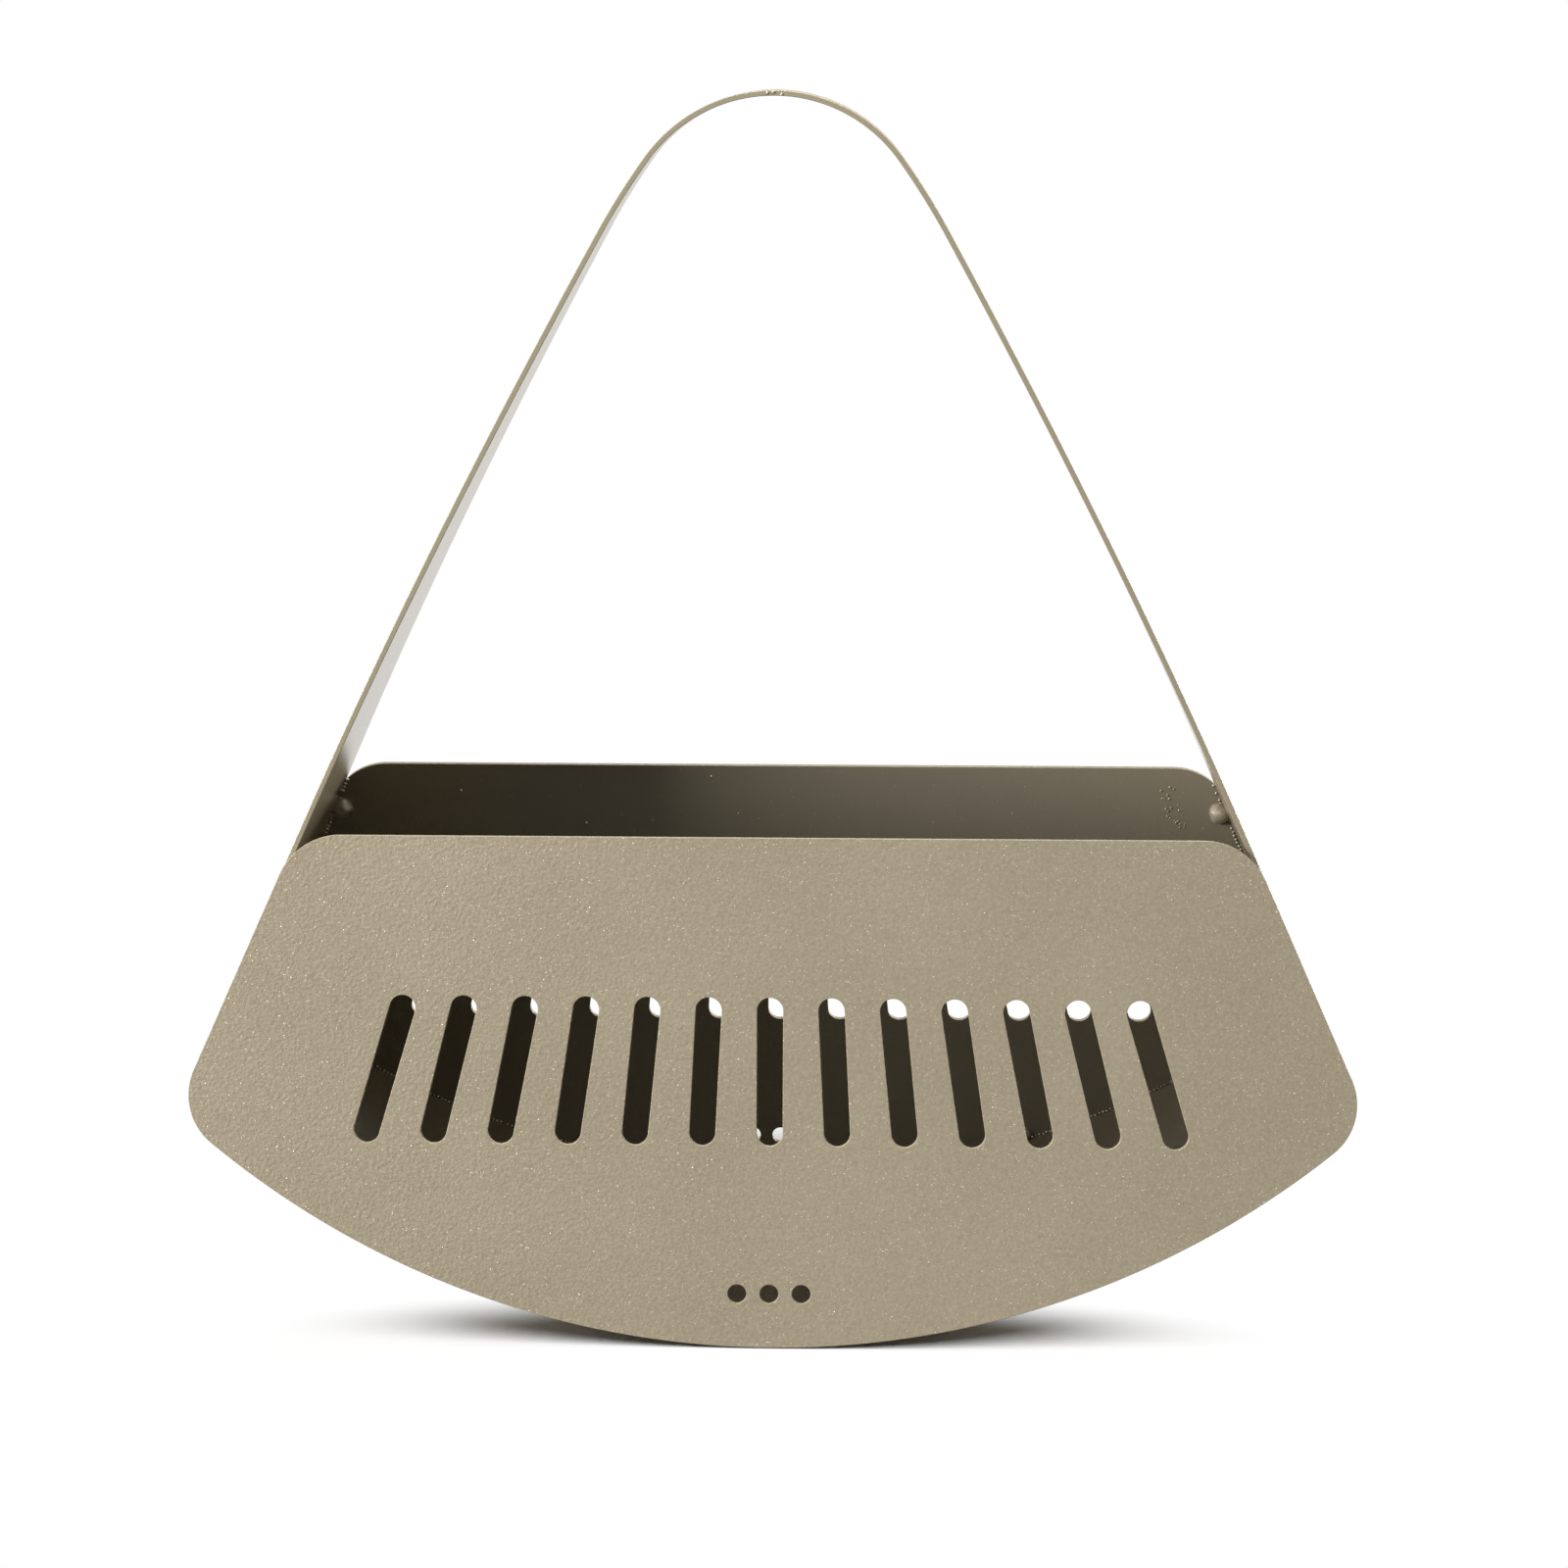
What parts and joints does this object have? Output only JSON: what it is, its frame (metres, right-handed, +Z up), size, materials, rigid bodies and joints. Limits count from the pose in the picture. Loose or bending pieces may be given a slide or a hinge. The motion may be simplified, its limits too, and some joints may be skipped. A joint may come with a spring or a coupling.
{
  "type": "hanging fruit basket",
  "caption": "Handbag-shaped fruit basket of welded powder-coated sheet steel: slotted leaning panels, a curved floor band and one strap that forms the side walls and the arched handle.",
  "frame": {"origin": "on the floor, under the middle of the basket, where the curved bottom touches it", "axes": "+Z up to the top of the handle, +X to the right as the front panel is seen, -Y out of the front panel"},
  "size_m": [0.4354, 0.17, 0.462],
  "materials": {
    "powder_coat": "pearl beige textured powder coat with fine metallic flecks, semi-matt",
    "coated_weld": "the same powder coat over a smooth blob of weld"
  },
  "bodies": {
    "root": {"front_panel": "powder_coat", "back_panel": "powder_coat", "handle_strap": "powder_coat", "bottom_band": "powder_coat", "tack_weld_front_left_rim": "coated_weld", "tack_weld_front_left_floor": "coated_weld", "tack_weld_front_right_rim": "coated_weld", "tack_weld_front_right_floor": "coated_weld", "tack_weld_back_left_rim": "coated_weld", "tack_weld_back_left_floor": "coated_weld", "tack_weld_back_right_rim": "coated_weld", "tack_weld_back_right_floor": "coated_weld"}
  },
  "joints": []
}
